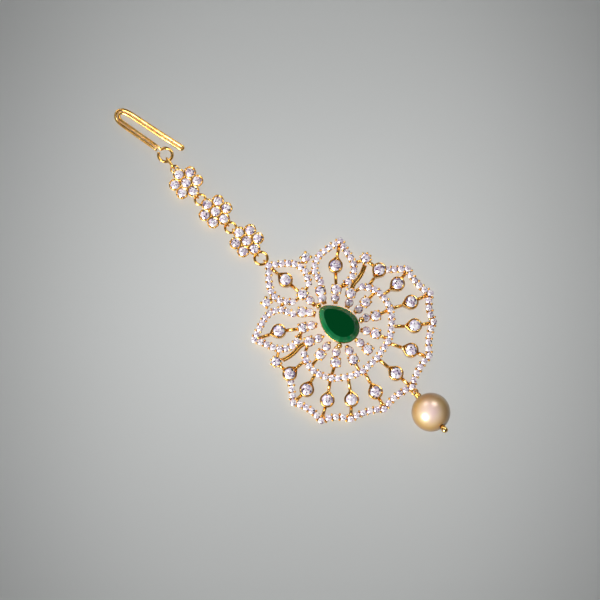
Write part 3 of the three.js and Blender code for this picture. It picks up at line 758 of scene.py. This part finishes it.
rise = math.asin((pearl["radius"] - drop["eye"][2]) / pearl["fromEye"])
heading = math.radians(-90 - drop["heading"])
dropX = np.array([math.cos(heading) * math.cos(rise), math.sin(heading) * math.cos(rise), math.sin(rise)])
dropY = np.array([-math.sin(heading), math.cos(heading), 0.0])
dropZ = np.cross(dropX, dropY)


def onDrop(shape):
    # moves a shape made round Z into the drop: its Z runs from the eye through the pearl
    points, polygons = shape
    placed = points[:, :1] * dropY + points[:, 1:2] * dropZ + points[:, 2:] * dropX + np.array(drop["eye"])
    return placed, polygons


opening = math.asin(pearl["hole"] / pearl["radius"])
angle = np.linspace(opening, math.pi - opening, 48)
ball = pearl["radius"] * np.stack([np.sin(angle), -np.cos(angle)], axis=-1) + [0, pearl["fromEye"]]
hole = [(pearl["hole"] * 0.86, ball[-1, 1] - 0.15), (pearl["hole"] * 0.86, ball[0, 1] + 0.15)]
pearlPoints, _ = lathe([*ball, *hole], 64)
pearlFaces = gridFaces(len(ball) + len(hole), 64, closeRows=True)
newPiece("pearl_ball", onDrop((pearlPoints, [pearlFaces])), nacre, replaced=("pearl",))

neck = pearl["fromEye"] - pearl["radius"]
turns = np.linspace(0, pin["turns"] * 2 * np.pi, 90)
wrap = np.stack([pin["wrapRadius"] * np.cos(turns), pin["wrapRadius"] * np.sin(turns),
                 neck - 0.28 - turns / (2 * np.pi) * pin["wrapWire"] * 1.5], axis=-1)
pinParts = [
    onDrop(lathe([(pin["shaft"], drop["eyeRadius"]), (pin["shaft"], pin["capAt"] - 0.05),
                  (0.54, pin["capAt"]),
                  (0.6, pin["capAt"] + 0.4), (0.63, pin["capAt"] + 0.95), (0.54, pin["capAt"] + 1.27),
                  (0.32, pin["capAt"] + 1.49), (0.06, pin["capAt"] + 1.56)], 24)),
    onDrop(sweep(wrap, roundSection(pin["wrapWire"], 10))),
    ringOfWire(drop["eye"], drop["eyeRadius"], drop["wire"], dropY, steps=36, along=dropX),
]
newPiece("pearl_pin_wire", joined(pinParts), gold, replaced=("pearl_pin",))
loopParts = [ringOfWire(bottomLoop["middle"], bottomLoop["radius"], bottomLoop["wire"], steps=32),
             uprightEyelet(pendantRing, -largeRing["radius"]),
             bar(0, -20.4, -0.35, -21.0, 0.6, 1.7)]
newPiece("pendant_loops", joined(loopParts), gold)
print("pearl drop made")


# Floor, lights and camera

studio = {"floor": "#d8dad9", "world": "#cfd0d2", "worldPower": 0.3, "key": 3.0, "fill": 0.6, "back": 0.45,
          "floorLamps": 15.0, "lampAngle": 13.2, "lampsApart": 0.08, "lampHeight": 0.55}
stageOnly = bpy.data.collections.new("stage")  # lamps of the floor light it alone, and only it can shade it


def newFloor():
    # matt card, with a faint tooth
    material = newMaterial("Matt grey card")
    place = addNode(material, "ShaderNodeTexCoord")
    tooth = addNode(material, "ShaderNodeTexNoise", {"Scale": 1500.0}, {"Vector": (place, "Object")})
    bump = addNode(material, "ShaderNodeBump", {"Strength": 0.05, "Distance": 0.0001},
                   {"Height": (tooth, "Fac")})
    shader = addNode(material, "ShaderNodeBsdfPrincipled",
                     {"Base Color": linearColour(studio["floor"]), "Roughness": 0.9},
                     {"Normal": (bump, "Normal")})
    addNode(material, "ShaderNodeOutputMaterial", links={"Surface": (shader, "BSDF")})
    mesh = bpy.data.meshes.new("floor")
    z = -0.05 * mm  # just under the lowest eyelets
    mesh.from_pydata([(-1, -1, z), (1, -1, z), (1, 1, z), (-1, 1, z)], [], [(0, 1, 2, 3)])
    mesh.materials.append(material)
    floor = bpy.data.objects.new("floor", mesh)
    bpy.context.scene.collection.objects.link(floor)
    stageOnly.objects.link(floor)


def aimed(thing, place, target):
    # puts a lamp or camera at a place, looking at the target
    thing.location = place
    thing.rotation_euler = (Vector(target) - Vector(place)).to_track_quat("-Z", "Y").to_euler()
    bpy.context.scene.collection.objects.link(thing)


def softLight(name, place, target, size, power):
    # a white square soft box that lights the jewel and not the floor
    lamp = bpy.data.lights.new(name, "AREA")
    lamp.size, lamp.energy = size, power
    box = bpy.data.objects.new(name, lamp)
    aimed(box, place, target)
    box.light_linking.receiver_collection = jewel


newFloor()
view = {"aim": (-1.25, 9.24, 1.0), "azimuth": -49.4, "elevation": 81, "distance": 0.297, "lens": 85}
middle = np.array(view["aim"]) * mm
azimuth, elevation = math.radians(view["azimuth"]), math.radians(view["elevation"])
back = np.array([math.sin(azimuth) * math.cos(elevation), -math.cos(azimuth) * math.cos(elevation),
                 math.sin(elevation)])
cameraData = bpy.data.cameras.new("camera")
cameraData.lens, cameraData.sensor_width = view["lens"], 36
cameraData.clip_start = 0.01
camera = bpy.data.objects.new("camera", cameraData)
aimed(camera, middle + back * view["distance"], middle)
bpy.context.scene.camera = camera

softBoxes = [("key", (-0.36, 0.03, 0.27), 0.22), ("fill", (0.32, 0.10, 0.30), 0.18),
             ("back", (0.10, 0.38, 0.26), 0.20)]  # place and side in metres
for name, place, size in softBoxes:
    softLight(name, place, tuple(middle), size, studio[name])
cameraUp = np.array([-math.sin(azimuth), math.cos(azimuth), 0])
for side in (-1, 1):  # two lamps side by side, so that the light on the floor is a soft oval
    name = "floor_lamp_right" if side > 0 else "floor_lamp_left"
    spot = bpy.data.lights.new(name, "SPOT")
    spot.energy, spot.spot_size = studio["floorLamps"], math.radians(studio["lampAngle"])
    spot.spot_blend, spot.shadow_soft_size = 1.0, 0.08
    under = middle + cameraUp * side * studio["lampsApart"] / 2
    lamp = bpy.data.objects.new(name, spot)
    aimed(lamp, tuple(under + [0, 0, studio["lampHeight"]]), tuple(under))
    lamp.light_linking.receiver_collection = stageOnly
    lamp.light_linking.blocker_collection = stageOnly

world = bpy.data.worlds.new("soft room")
bpy.context.scene.world = world
world.use_nodes = True
world.node_tree.nodes.clear()
direction = addNode(world, "ShaderNodeTexCoord")
panels = addNode(world, "ShaderNodeTexNoise", {"Scale": 4.0, "Detail": 0.0},
                 {"Vector": (direction, "Generated")})  # bright and dark places in the room, for the mirrors
light = addNode(world, "ShaderNodeValToRGB", links={"Fac": (panels, "Fac")})
rampStops(light, [(0.40, "#3a3836"), (0.52, studio["world"]), (0.64, "#ffffff")])
room = addNode(world, "ShaderNodeBackground", {"Strength": studio["worldPower"]}, {"Color": (light, "Color")})
addNode(world, "ShaderNodeOutputWorld", links={"Surface": (room, "Background")})
bpy.context.scene.view_settings.view_transform = "Standard"
